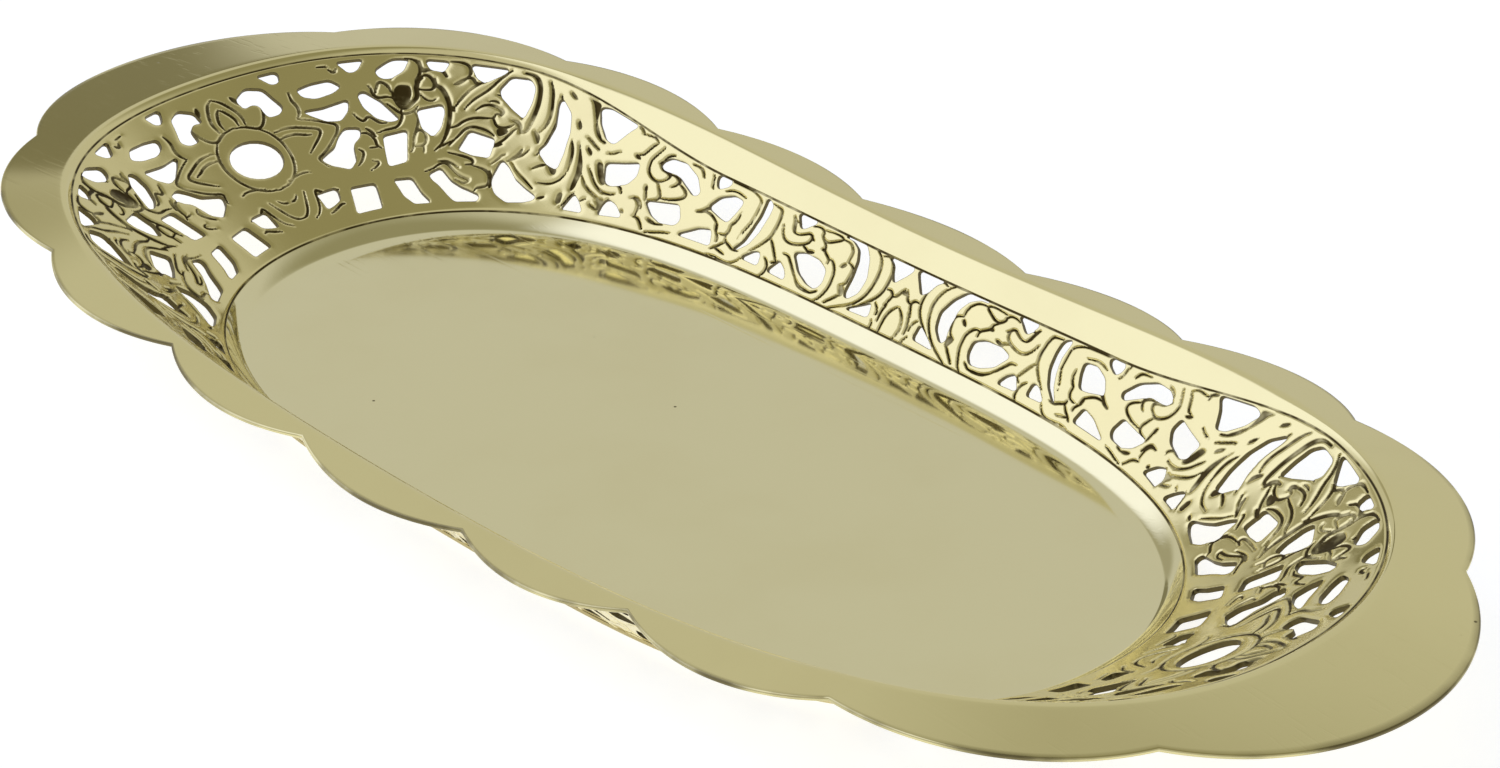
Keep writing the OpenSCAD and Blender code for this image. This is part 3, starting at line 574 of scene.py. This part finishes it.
class Pattern:
    """The wall laid flat in millimetres: u along the wall from the end, w up the wall, folded
    at the ends and at the middle of the sides."""

    def __init__(self, form):
        self.form = form
        q = np.linspace(-45, 145, 3801)
        p = form.at(q, np.full_like(q, 1.5))
        run = np.concatenate([[0], np.cumsum(np.linalg.norm(np.diff(p, axis=0), axis=1))])
        self.q, self.u = q, (run - np.interp(0, q, run)) / MM
        foot, crest = form.at(q, np.full_like(q, 1.0)), form.at(q, np.full_like(q, 3.0))
        self.slope = np.linalg.norm(crest - foot, axis=1) / MM
        self.middle = float(np.interp(90, self.q, self.u))
        self.holes = [rounded(self.flat(b)) for b in BLOCKS] + [self.flat(EYE, False)]
        self.dark_patches = [rounded(self.flat(b)) for b in DARK_PATCHES]
        self.lines = [(eased(self.flat(p)), half * (END_TOOL if p[0][0] < 38 else SIDE_TOOL))
                      for group, half in ((FINE, FINE_HALF), (CHASED, CHASED_HALF),
                                          (DEEP, DEEP_HALF)) for p in group]

    def flat(self, points, stretch=True):
        """Millimetres along and up the wall from degrees and shares of the wall."""
        p = np.asarray(points, float)
        q = p[:, 0] * (SIDE_STRETCH if stretch else 1)
        r = np.minimum(p[:, 1], self.form.band(q) * .96)
        return np.stack([np.interp(q, self.q, self.u), r * np.interp(q, self.q, self.slope)], -1)

    def fold(self, u):
        """Distance from the nearer end, however far round the wall goes."""
        u = np.abs(u)
        return np.where(u > self.middle, 2 * self.middle - u, u)

    def outlined(self, u, w, shapes, far=6.0):
        """Signed distance to the nearest closed outline, negative inside: the shortest of the
        distances to its sides, with the sign from counting crossings."""
        best = np.full(u.shape, far)
        for h in shapes:
            near = self.near(u, w, h)
            if not near.any():
                continue
            a, b = u[near], w[near]
            dist, odd = np.full(a.shape, far), np.zeros(a.shape, bool)
            for p, n in zip(h, np.roll(h, -1, axis=0)):
                dist = np.minimum(dist, line_distance(a, b, p, n)[0])
                cross = (p[1] > b) != (n[1] > b)
                rise = 1e-9 if n[1] == p[1] else n[1] - p[1]
                odd ^= cross & (a < (n[0] - p[0]) * (b - p[1]) / rise + p[0])
            best[near] = np.minimum(best[near], np.where(odd, -dist, dist))
        return best

    def fields(self, u, w):
        """Signed distance to the piercings, depth of the chased lines from 0 to 1 (a bell of
        the distance to the line, narrower at the line's ends), and distance to any line."""
        hole = self.outlined(u, w, self.holes) - OPENING_EASE
        to_dark_patch = self.outlined(u, w, self.dark_patches, 3.0)
        sunk = 1 / (1 + np.exp(np.clip(to_dark_patch / .12, -30, 30)))
        dist_all = np.maximum(to_dark_patch, 0)
        for line, half in self.lines:
            near = self.near(u, w, line)
            if not near.any():
                continue
            a, b = u[near], w[near]
            dist, along, count = np.full(a.shape, 9.0), np.zeros(a.shape), len(line) - 1
            for i, (p, n) in enumerate(zip(line[:-1], line[1:])):
                d, f = line_distance(a, b, p, n)
                along = np.where(d < dist, (i + f) / count, along)
                dist = np.minimum(dist, d)
            taper = .55 + .45 * np.clip(5 * np.minimum(along, 1 - along), 0, 1)
            sunk[near] = np.maximum(sunk[near], np.exp(-(dist / (half * taper)) ** 2))
            dist_all[near] = np.minimum(dist_all[near], dist)
        return hole, sunk, dist_all

    @staticmethod
    def near(u, w, shape, margin=2.5):
        """Which points lie in the box round a shape, grown by the margin."""
        lo, hi = shape.min(0) - margin, shape.max(0) + margin
        return (u > lo[0]) & (u < hi[0]) & (w > lo[1]) & (w < hi[1])


def cut_open(tris, hole, data):
    """Cuts every triangle along hole = 0 and keeps the side where it is positive. New points
    lie where the straight change of the field along an edge is zero."""
    inside = hole[tris] > 0
    count = inside.sum(1)

    def turned(rows, first):
        return np.take_along_axis(rows, (first[:, None] + np.arange(3)) % 3, axis=1)

    one = turned(tris[count == 1], inside[count == 1].argmax(1))
    two = turned(tris[count == 2], inside[count == 2].argmin(1))
    edges = np.concatenate([one[:, [0, 1]], one[:, [0, 2]], two[:, [0, 1]], two[:, [0, 2]]])
    ordered = np.sort(edges, axis=1)
    unique, index = np.unique(ordered, axis=0, return_inverse=True)
    index = index.ravel() + len(data)
    a, b = unique[:, 0], unique[:, 1]
    f = (hole[a] / (hole[a] - hole[b]))[:, None]
    data = np.concatenate([data, data[a] * (1 - f) + data[b] * f])
    n1, n2 = len(one), len(two)
    ab, ac = index[:n1], index[n1:2 * n1]
    ha, hb = index[2 * n1:2 * n1 + n2], index[2 * n1 + n2:]
    tris = np.concatenate([
        tris[count == 3],
        np.stack([one[:, 0], ab, ac], -1),
        np.stack([two[:, 1], two[:, 2], hb], -1),
        np.stack([two[:, 1], hb, ha], -1)])
    used, tris = np.unique(tris, return_inverse=True)
    return tris.reshape(-1, 3), data[used]


def wander(x, y, z, border):
    """Small drift of the hand-sawn pattern along and up the wall, in millimetres: sums of sine
    waves of the place, fading to nothing at the wall's two borders."""
    fade = np.clip(border / 3, 0, 1)
    du = .20 * (np.sin(x / 5.1 + 1.0) + np.sin(z / 2.7 + y / 6.0 + 2.0)) * fade
    dw = .16 * (np.sin(y / 4.3 + .7) + np.sin(x / 6.1 - z / 3.0)) * fade
    return du, dw


def make_panel(form, pattern, name, node, centre, half, q_shift, cell, rows):
    """A wall panel: a grid over turn angle and height, opened along the piercings, raised
    between chased lines by h (1 - exp(-d / s)) of the distance to the nearest edge, sunk along
    the lines, and closed at a sheet's thickness with walls round every opening."""
    t = form.even_turns(centre - half, centre + half, cell, 1.5)
    v = np.linspace(0, 1, rows + 1)
    tt, vv = t[:, None], v[None, :]
    top, down = form.at(tt, 1 + vv), form.down(tt, 1 + vv)
    q = q_shift + (tt - centre)
    u = np.interp(q, pattern.q, pattern.u) * np.ones_like(vv)
    slope = np.interp(Form.fold(tt), pattern.q, pattern.slope)
    w = vv * form.band(tt) * slope
    height = form.band(tt) * slope * np.ones_like(vv)
    border = np.minimum(w, height - w)
    du, dw = wander(*np.moveaxis(top / MM, -1, 0), border)
    hole, sunk, dist = pattern.fields(pattern.fold(u + du).ravel(), (w + dw).ravel())
    hole, sunk, dist = (k.reshape(w.shape) for k in (hole, sunk, dist))
    sunk = np.maximum(sunk, BORDER_DARK * np.exp(-((border - BORDER_LINE) / BORDER_HALF) ** 2))
    edge = np.clip(np.minimum(np.minimum(hole, dist), border), 0, None)
    lift = form.pillow * (1 - np.exp(-edge / PILLOW_RUN)) - form.groove * sunk
    lift = lift * np.clip(border / BORDER_FLAT, 0, 1)
    up = top - down * lift[..., None]
    under = top + down * form.sheet - down * (lift * BACK_SHARE)[..., None]
    n, m = u.shape
    i, j = np.meshgrid(np.arange(n - 1), np.arange(m - 1), indexing="ij")
    a, b, c, d = i * m + j, i * m + j + 1, (i + 1) * m + j + 1, (i + 1) * m + j
    odd = ((i + j) % 2 == 1)[..., None]
    tris = np.concatenate([
        np.where(odd, np.stack([a, b, d], -1), np.stack([a, b, c], -1)).reshape(-1, 3),
        np.where(odd, np.stack([b, c, d], -1), np.stack([a, c, d], -1)).reshape(-1, 3)])
    field = hole.ravel().copy()
    field[np.abs(field) < SLIVER] = SLIVER / 10
    data = np.column_stack([up.reshape(-1, 3), under.reshape(-1, 3), sunk.ravel(), hole.ravel()])
    tris, data = cut_open(tris, field, data)
    size = len(data)
    pairs = np.concatenate([tris[:, [0, 1]], tris[:, [1, 2]], tris[:, [2, 0]]])
    key, back = pairs[:, 0] * size + pairs[:, 1], pairs[:, 1] * size + pairs[:, 0]
    rim = pairs[~np.isin(key, back)]
    walls = np.stack([rim[:, 1], rim[:, 0], rim[:, 0] + size, rim[:, 1] + size], -1)
    verts = np.concatenate([data[:, :3], data[:, 3:6]])
    chased = np.concatenate([data[:, 6], np.zeros(size)])
    hole_all = np.concatenate([data[:, 7], data[:, 7]])
    piece = add_mesh(name, verts, np.concatenate([tris, tris[:, ::-1] + size]), walls,
                     {"chased": chased, "to_opening": hole_all}, sharp=50)
    hand(piece, node)
    return piece


# ---------------------------------------------------------------- finishes

def new_group(name, inputs, outputs):
    """An empty node group with named sockets."""
    group = bpy.data.node_groups.new(name, "ShaderNodeTree")
    for label, kind, value in inputs:
        socket = group.interface.new_socket(label, in_out="INPUT", socket_type=kind)
        if value is not None:
            socket.default_value = value
    for label, kind in outputs:
        group.interface.new_socket(label, in_out="OUTPUT", socket_type=kind)
    return group, group.nodes.new("NodeGroupInput"), group.nodes.new("NodeGroupOutput")


def node(tree, kind, links=None, **values):
    """A node with its settings, and its inputs linked or set by name or number."""
    made = tree.nodes.new(kind)
    for key, value in values.items():
        setattr(made, key, value)
    for key, value in (links or {}).items():
        if isinstance(value, bpy.types.NodeSocket):
            tree.links.new(value, made.inputs[key])
        else:
            made.inputs[key].default_value = value
    return made


def maths(tree, operation, first, second):
    """The outcome of one sum on two values or sockets."""
    return node(tree, "ShaderNodeMath", {0: first, 1: second}, operation=operation).outputs[0]


def blend(tree, mask, low, high):
    """The colour low where the mask is 0, high where it is 1."""
    return node(tree, "ShaderNodeMix", {0: mask, 6: low, 7: high}, data_type="RGBA").outputs[2]


def noise(tree, coords, scale, detail, **more):
    """Soft noise from 0 to 1 over the given coordinates."""
    return node(tree, "ShaderNodeTexNoise",
                {"Vector": coords, "Scale": scale, "Detail": detail, **more}).outputs["Fac"]


def ramp(tree, fac, stops):
    """A smooth change between two greys, for (place, place, grey, grey)."""
    low, high, grey_low, grey_high = stops
    made = node(tree, "ShaderNodeMapRange",
                {"Value": fac, "From Min": low, "From Max": high,
                 "To Min": grey_low, "To Max": grey_high}, interpolation_type="SMOOTHSTEP")
    return made.outputs["Result"]


def handling_group():
    """Handling wear of polished sheet: soft cloudy dulling, hairlines and small pits."""
    group, gin, gout = new_group(
        "handling_wear",
        [("Coords", "NodeSocketVector", None), ("Cloud Size", "NodeSocketFloat", 26.0),
         ("Hairline Size", "NodeSocketFloat", 900.0), ("Pit Size", "NodeSocketFloat", 120.0)],
        [("Cloud", "NodeSocketFloat"), ("Hairline", "NodeSocketFloat"), ("Pits", "NodeSocketFloat"),
         ("Height", "NodeSocketFloat")])
    coords = gin.outputs["Coords"]
    cloud = noise(group, coords, gin.outputs["Cloud Size"], 5.0, Roughness=.55)
    masks = []
    for turn, squeeze in ((.5, 1.0), (-.9, .8), (2.1, 1.2)):
        spun = node(group, "ShaderNodeMapping", {"Vector": coords, "Rotation": (0, 0, turn),
                                                 "Scale": (.02 * squeeze, 1.0, 1.0)})
        hair = noise(group, spun.outputs[0], gin.outputs["Hairline Size"], 1.0)
        masks.append(ramp(group, hair, (.66, .74, 0, 1)))
    hairs = maths(group, "MAXIMUM", maths(group, "MAXIMUM", masks[0], masks[1]), masks[2])
    spots = node(group, "ShaderNodeTexVoronoi", {"Vector": coords, "Scale": gin.outputs["Pit Size"],
                                                 "Randomness": 1.0})
    rare = ramp(group, noise(group, coords, 70.0, 0.0), (.66, .70, 0, 1))
    dot = ramp(group, spots.outputs["Distance"], (.03, .05, .8, 0))
    pits = maths(group, "MULTIPLY", dot, rare)
    deep = maths(group, "ADD", maths(group, "MULTIPLY", hairs, .12), pits)
    height = maths(group, "SUBTRACT", 1.0, deep)
    for label, value in (("Cloud", cloud), ("Hairline", hairs), ("Pits", pits), ("Height", height)):
        group.links.new(value, gout.inputs[label])
    return group


def brass_material(name, colours, fresh, handling, rough, clouding, chased=False, edged=False):
    """Polished sheet brass: metal colour dulled in soft clouds, hairlines and pits in the
    polish, and on chased sheet a dark film in the lines and painted shade on the walls of the
    piercings and just round them."""
    mat = bpy.data.materials.new(name)
    mat.use_nodes = True
    tree = mat.node_tree
    tree.nodes.clear()
    out = node(tree, "ShaderNodeOutputMaterial")
    bsdf = node(tree, "ShaderNodeBsdfPrincipled")
    bsdf.inputs["Metallic"].default_value = 1.0
    coords = node(tree, "ShaderNodeTexCoord").outputs["Object"]
    wear = node(tree, "ShaderNodeGroup")
    wear.node_tree = handling
    tree.links.new(coords, wear.inputs["Coords"])
    dull = ramp(tree, wear.outputs["Cloud"], (.42, .72, 0, clouding))
    base = blend(tree, dull, (*fresh, 1), (*colours.dulled, 1))
    roughness = node(tree, "ShaderNodeMapRange", {"Value": wear.outputs["Cloud"], "From Min": .3,
                                                  "From Max": .75, "To Min": rough,
                                                  "To Max": rough * 1.6}).outputs[0]
    dark = wear.outputs["Pits"]
    if chased:
        line = node(tree, "ShaderNodeAttribute", attribute_name="chased").outputs["Fac"]
        edge = node(tree, "ShaderNodeAttribute", attribute_name="to_opening").outputs["Fac"]
        film_and_shade = ramp(tree, line, (.20, .60, 0, 1))
        # Painted shade: the walls of the openings and a thin strip round them are darkened.
        painted_opening_shade = ramp(tree, edge, (.02, .16, .92, 0))
        keep = ramp(tree, noise(tree, coords, 160.0, 3.0), (.30, .55, .45, 1))
        film_and_shade = maths(tree, "MAXIMUM", maths(tree, "MULTIPLY", film_and_shade, keep), painted_opening_shade)
        dark = maths(tree, "MAXIMUM", film_and_shade, dark)
    if edged:
        # Darkens the flange's rounded outer edge, broken by noise.
        edge = node(tree, "ShaderNodeAttribute", attribute_name="rim_edge").outputs["Fac"]
        keep = ramp(tree, noise(tree, coords, 45.0, 4.0), (.38, .62, .15, .85))
        film_and_shade = maths(tree, "MULTIPLY", edge, keep)
        dark = maths(tree, "MAXIMUM", film_and_shade, dark)
    tarnished_and_shaded = blend(tree, dark, base, (*colours.tarnish_and_shade, 1))
    tree.links.new(tarnished_and_shaded, bsdf.inputs["Base Color"])
    rougher = maths(tree, "MULTIPLY", dark, .35)
    scuffed = maths(tree, "MULTIPLY", wear.outputs["Hairline"], .03)
    roughness = maths(tree, "ADD", maths(tree, "ADD", roughness, rougher), scuffed)
    tree.links.new(roughness, bsdf.inputs["Roughness"])
    bump = node(tree, "ShaderNodeBump", {"Strength": .12, "Distance": .0002,
                                         "Height": wear.outputs["Height"]})
    rolling = node(tree, "ShaderNodeBump", {"Strength": .05, "Distance": .004,
                                            "Height": noise(tree, coords, 18.0, 1.0),
                                            "Normal": bump.outputs[0]})
    tree.links.new(rolling.outputs[0], bsdf.inputs["Normal"])
    tree.links.new(bsdf.outputs[0], out.inputs["Surface"])
    return mat


FINISHES = ("polished_floor", "chased_wall", "brazed_seam", "polished_rim")


def finishes():
    """The four finishes, made once."""
    if FINISHES[0] in bpy.data.materials:
        return [bpy.data.materials[k] for k in FINISHES]
    colours = bpy.context.scene.tray_colours
    handling = handling_group()
    return [
        brass_material("polished_floor", colours, colours.floor, handling, .055, .12),
        brass_material("chased_wall", colours, colours.wall, handling, .11, .3, chased=True),
        brass_material("brazed_seam", colours, colours.brazing, handling, .38, 1.0),
        brass_material("polished_rim", colours, colours.brass, handling, .06, .2, edged=True)]


# ---------------------------------------------------------------- operators

def form_now():
    """The sheet's shape for the sizes now set in the panel."""
    return Form(bpy.context.scene.tray_sizes)


class TRAY_OT_floor_pan(bpy.types.Operator):
    """Make the floor pan: flat floor, plain foot band and the same again a sheet lower"""
    bl_idname = "tray.floor_pan"
    bl_label = "Floor pan"

    def execute(self, context):
        form = form_now()
        t = form.even_turns(0, 360, .0011, 1.0)[:-1]
        inner = np.linspace(.04, 1, 26)
        fringe = form.at(t[:, None], np.array([0.0])[None, :])
        floor = fringe * np.array([1, 1, 0]) * inner[None, :, None]
        floor[..., 2] = form.sheet
        s = np.linspace(0, 1, 9)[1:]
        band = form.at(t[:, None], s[None, :])
        low = band + form.down(t[:, None], s[None, :]) * form.sheet
        under = floor * np.array([1, 1, 0])
        grid = np.concatenate([floor, band, low[:, ::-1], under[:, ::-1]], axis=1)
        n, m = grid.shape[:2]
        quads = ring_faces(n, m, close=False)
        verts = np.concatenate([grid.reshape(-1, 3), [[0, 0, form.sheet], [0, 0, 0]]])
        i = np.arange(n)
        caps = np.concatenate([
            np.stack([np.full(n, n * m), i * m, (i + 1) % n * m], -1),
            np.stack([np.full(n, n * m + 1), (i + 1) % n * m + m - 1, i * m + m - 1], -1)])
        piece = add_mesh("floor_pan_sheet", verts, caps, quads)
        piece.data.materials.append(finishes()[0])
        hand(piece, "floor_pan")
        return {"FINISHED"}


class TRAY_OT_gallery(bpy.types.Operator):
    """Make the four pierced and chased wall panels"""
    bl_idname = "tray.gallery"
    bl_label = "Gallery panels"

    def execute(self, context):
        form = form_now()
        pattern = Pattern(form)
        j = form.panel_joint
        side = 90 - j
        for name, node_name, centre, half, q_shift, cell, rows in (
                ("end_panel_right", "gallery_end_right", 0, j, 0, END_CELL, END_ROWS),
                ("end_panel_left", "gallery_end_left", 180, j, 0, END_CELL, END_ROWS),
                ("side_panel_back", "gallery_side_back", 90, side, 90, SIDE_CELL, SIDE_ROWS),
                ("side_panel_front", "gallery_side_front", 270, side, 90, SIDE_CELL, SIDE_ROWS)):
            piece = make_panel(form, pattern, name, node_name, centre, half, q_shift, cell, rows)
            piece.data.materials.append(finishes()[1])
        return {"FINISHED"}


class TRAY_OT_rim(bpy.types.Operator):
    """Make the rim: plain cove, rounded crest, falling flange and its rounded lobed edge"""
    bl_idname = "tray.rim"
    bl_label = "Scalloped rim"

    def execute(self, context):
        form = form_now()
        notches = sorted({a for k in NOTCH_ANGLE for a in (k, 180 - k, 180 + k, 360 - k)})
        turns = []
        for a, b in zip(notches, notches[1:] + [notches[0] + 360]):
            turns.append(form.even_turns(a, b, .0010, 3.6)[:-1])
        t = np.concatenate(turns)[:, None]
        sheet = form.sheet
        cove_len = np.linalg.norm(form.at(t, 3.0) - form.at(t, 2.0), axis=-1)
        ease = np.minimum(CREST_EASE, CREST_EASE_SHARE * cove_len)
        width = form.flange(t)
        edge_r = sheet / 2
        f = np.linspace(0, 1, 8)[None, :]
        cove = 2 + f * (1 - ease / cove_len)
        g = np.linspace(0, 1, 15)[None, :]
        start, end = 3 + ease / width, 4 - (edge_r + .00005) / width
        flange = start + g * (end - start)
        h = np.linspace(0, 1, 8)[None, 1:-1, None]
        a, c, b = form.at(t, cove[:, -1:]), form.at(t, 3.0), form.at(t, start)
        bend = (1 - h) ** 2 * a + 2 * h * (1 - h) * c + h ** 2 * b
        na, nb = form.down(t, cove[:, -1:]), form.down(t, start + .05)
        bend_n = na * (1 - h) + nb * h
        bend_n /= np.linalg.norm(bend_n, axis=-1, keepdims=True)
        flange_n = np.repeat(form.down(t, np.full_like(t, 3.5)), 15, axis=1)
        top = np.concatenate([form.at(t, cove), bend, form.at(t, flange)], axis=1)
        normal = np.concatenate([form.down(t, np.minimum(cove, 2.97)), bend_n, flange_n], axis=1)
        x, y, nx, ny = form.foot(t)
        out = np.stack([nx, ny, np.zeros_like(nx)], -1)
        k = np.linspace(0, math.pi, 8)[None, 1:-1, None]
        last, nl = top[:, -1:], normal[:, -1:]
        edge = last + nl * edge_r - nl * np.cos(k) * edge_r + out * np.sin(k) * edge_r
        grid = np.concatenate([top, edge, (top + normal * sheet)[:, ::-1]], axis=1)
        grid[..., 2] -= RIM_SETTLE
        n, m = grid.shape[:2]
        # Mask that darkens the flange's rounded outer edge, at half strength on the row beside it.
        film_and_shade = np.zeros((n, m))
        film_and_shade[:, top.shape[1]:top.shape[1] + edge.shape[1]] = 1
        film_and_shade[:, top.shape[1] - 1] = .5
        piece = add_mesh("scalloped_rim_sheet", grid.reshape(-1, 3), None,
                         ring_faces(n, m), {"rim_edge": film_and_shade.ravel()})
        piece.data.materials.append(finishes()[3])
        hand(piece, "scalloped_rim")
        return {"FINISHED"}


class TRAY_OT_seams(bpy.types.Operator):
    """Make the brazed seams outside the foot line, under the cove and at the panel joints"""
    bl_idname = "tray.seams"
    bl_label = "Brazed seams"

    def execute(self, context):
        form = form_now()
        t = form.even_turns(0, 360, .0016, 1.5)[:-1][:, None]
        f = np.linspace(0, 1, 7)[None, 1:-1, None]
        for name, node_name, s0, s1, s2 in (
                ("foot_seam", "foot_seam_solder", PAN_BEAD, 1.0, LOW_BEAD),
                ("rim_seam", "rim_seam_solder", HIGH_BEAD, 2.0, RIM_BEAD)):
            low = [form.at(t, s) + form.down(t, s) * form.sheet for s in (s0, s1, s2)]
            crown = low[1] + form.down(t, s1) * BEAD_CROWN
            arc = (1 - f) ** 2 * low[2] + 2 * f * (1 - f) * crown + f ** 2 * low[0]
            grid = np.concatenate([low[0], low[1], low[2], arc], axis=1)
            n, m = grid.shape[:2]
            piece = add_mesh(name, grid.reshape(-1, 3), None, ring_faces(n, m))
            piece.data.materials.append(finishes()[2])
            hand(piece, node_name)
        verts, quads, caps, first = [], [], [], 0
        s = np.linspace(LOW_BEAD, HIGH_BEAD, 40)[:, None]
        for centre in (form.panel_joint, 180 - form.panel_joint,
                       180 + form.panel_joint, 360 - form.panel_joint):
            base = [form.at(centre + o, s) + form.down(centre + o, s) * form.sheet
                    for o in (-JOINT_HALF, 0, JOINT_HALF)]
            crown = base[1] + form.down(centre, s) * BEAD_CROWN
            arc = (1 - f) ** 2 * base[2] + 2 * f * (1 - f) * crown + f ** 2 * base[0]
            grid = np.concatenate([*base, arc], axis=1)
            n, m = grid.shape[:2]
            i, k = np.meshgrid(np.arange(n - 1), np.arange(m), indexing="ij")
            l = (k + 1) % m
            quads.append(first + np.stack([i * m + k, (i + 1) * m + k, (i + 1) * m + l,
                                           i * m + l], -1).reshape(-1, 4))
            r, middle, far = np.arange(m) + first, first + n * m, first + (n - 1) * m
            turn = (np.arange(m) + 1) % m
            caps.append(np.stack([np.full(m, middle), r, turn + first], -1))
            caps.append(np.stack([np.full(m, middle + 1), turn + far, np.arange(m) + far], -1))
            verts += [grid.reshape(-1, 3), np.stack([grid[0].mean(0), grid[-1].mean(0)])]
            first = middle + 2
        piece = add_mesh("panel_joint_seams", np.concatenate(verts), np.concatenate(caps),
                         np.concatenate(quads))
        piece.data.materials.append(finishes()[2])
        hand(piece, "panel_joint_solder")
        return {"FINISHED"}


def towards(turn, rise):
    """Unit vector at a turn round the vertical and a rise above the horizon, in degrees."""
    a, e = math.radians(turn), math.radians(rise)
    return math.cos(a) * math.cos(e), math.sin(a) * math.cos(e), math.sin(e)


def studio_world(scene):
    """A soft studio all round: even grey walls, one big soft window, a dimmer ceiling over the
    far end and a dim doorway beside it, each fading with the angle from its middle."""
    world = bpy.data.worlds.new("studio")
    world.use_nodes = True
    scene.world = world
    tree = world.node_tree
    tree.nodes.clear()
    way = node(tree, "ShaderNodeTexCoord").outputs["Generated"]
    light_colour = STUDIO_WALL
    for middle, inner, outer, value in STUDIO_ZONES:
        cosine = node(tree, "ShaderNodeVectorMath", {0: way, 1: towards(*middle)},
                      operation="DOT_PRODUCT").outputs["Value"]
        mask = ramp(tree, cosine, (math.cos(math.radians(outer)), math.cos(math.radians(inner)),
                                   0, 1))
        light_colour = blend(tree, mask, light_colour, value)
    light = node(tree, "ShaderNodeBackground")
    tree.links.new(light_colour, light.inputs["Color"])
    out = node(tree, "ShaderNodeOutputWorld")
    tree.links.new(light.outputs[0], out.inputs["Surface"])


class TRAY_OT_stage(bpy.types.Operator):
    """Make the pale floor, the soft studio light and the camera"""
    bl_idname = "tray.stage"
    bl_label = "Stage"

    def execute(self, context):
        scene = context.scene
        half = STAGE_SIZE / 2
        verts = np.array([[-half, -half, 0], [half, -half, 0], [half, half, 0], [-half, half, 0]])
        verts[:, 2] = -STAGE_DROP
        floor = add_mesh("stage_floor", verts, None, np.array([[0, 1, 2, 3]]))
        mat = bpy.data.materials.new("stage_floor")
        mat.use_nodes = True
        bsdf = mat.node_tree.nodes["Principled BSDF"]
        bsdf.inputs["Base Color"].default_value = (*scene.tray_colours.stage, 1)
        bsdf.inputs["Roughness"].default_value = .9
        bsdf.inputs["Specular IOR Level"].default_value = .1
        bsdf.inputs["Emission Color"].default_value = STAGE_GLOW
        bsdf.inputs["Emission Strength"].default_value = STAGE_GLOW_STRENGTH
        floor.data.materials.append(mat)

        studio_world(scene)

        data = bpy.data.cameras.new("camera")
        data.sensor_width, data.lens = SENSOR, LENS
        data.shift_x, data.shift_y = VIEW_SHIFT
        cam = bpy.data.objects.new("camera", data)
        yaw, rise, roll = (math.radians(k) for k in (CAMERA_TURN, CAMERA_RISE, CAMERA_ROLL))
        back = Vector((math.sin(yaw) * math.cos(rise), -math.cos(yaw) * math.cos(rise),
                       math.sin(rise)))
        cam.location = Vector(CAMERA_AIM) + back * CAMERA_DISTANCE
        turn = (-back).to_track_quat("-Z", "Y")
        turn.rotate(Quaternion(-back, -roll))
        cam.rotation_mode = "QUATERNION"
        cam.rotation_quaternion = turn
        data.clip_start, data.clip_end = .01, 20
        scene.collection.objects.link(cam)
        scene.camera = cam
        scene.view_settings.view_transform = "Standard"
        return {"FINISHED"}


class TRAY_PT_panel(bpy.types.Panel):
    """Sizes, colours and steps of the tray"""
    bl_label = "Brass tray"
    bl_idname = "TRAY_PT_panel"
    bl_space_type = "VIEW_3D"
    bl_region_type = "UI"
    bl_category = "Tray"

    def draw(self, context):
        layout = self.layout
        for group in (context.scene.tray_sizes, context.scene.tray_colours):
            box = layout.box()
            for key in group.bl_rna.properties.keys():
                if key not in ("rna_type", "name"):
                    box.prop(group, key)
        for step in STEPS:
            layout.operator(step.bl_idname)


STEPS = (TRAY_OT_stage, TRAY_OT_floor_pan, TRAY_OT_gallery, TRAY_OT_rim, TRAY_OT_seams)
CLASSES = (TraySizes, TrayColours, *STEPS, TRAY_PT_panel)


def register():
    for cls in CLASSES:
        bpy.utils.register_class(cls)
    bpy.types.Scene.tray_sizes = bpy.props.PointerProperty(type=TraySizes)
    bpy.types.Scene.tray_colours = bpy.props.PointerProperty(type=TrayColours)


def unregister():
    del bpy.types.Scene.tray_sizes
    del bpy.types.Scene.tray_colours
    for cls in reversed(CLASSES):
        bpy.utils.unregister_class(cls)


def main():
    register()
    bpy.ops.tray.stage()
    bpy.ops.tray.floor_pan()
    bpy.ops.tray.gallery()
    bpy.ops.tray.rim()
    bpy.ops.tray.seams()


if __name__ == "__main__":
    main()
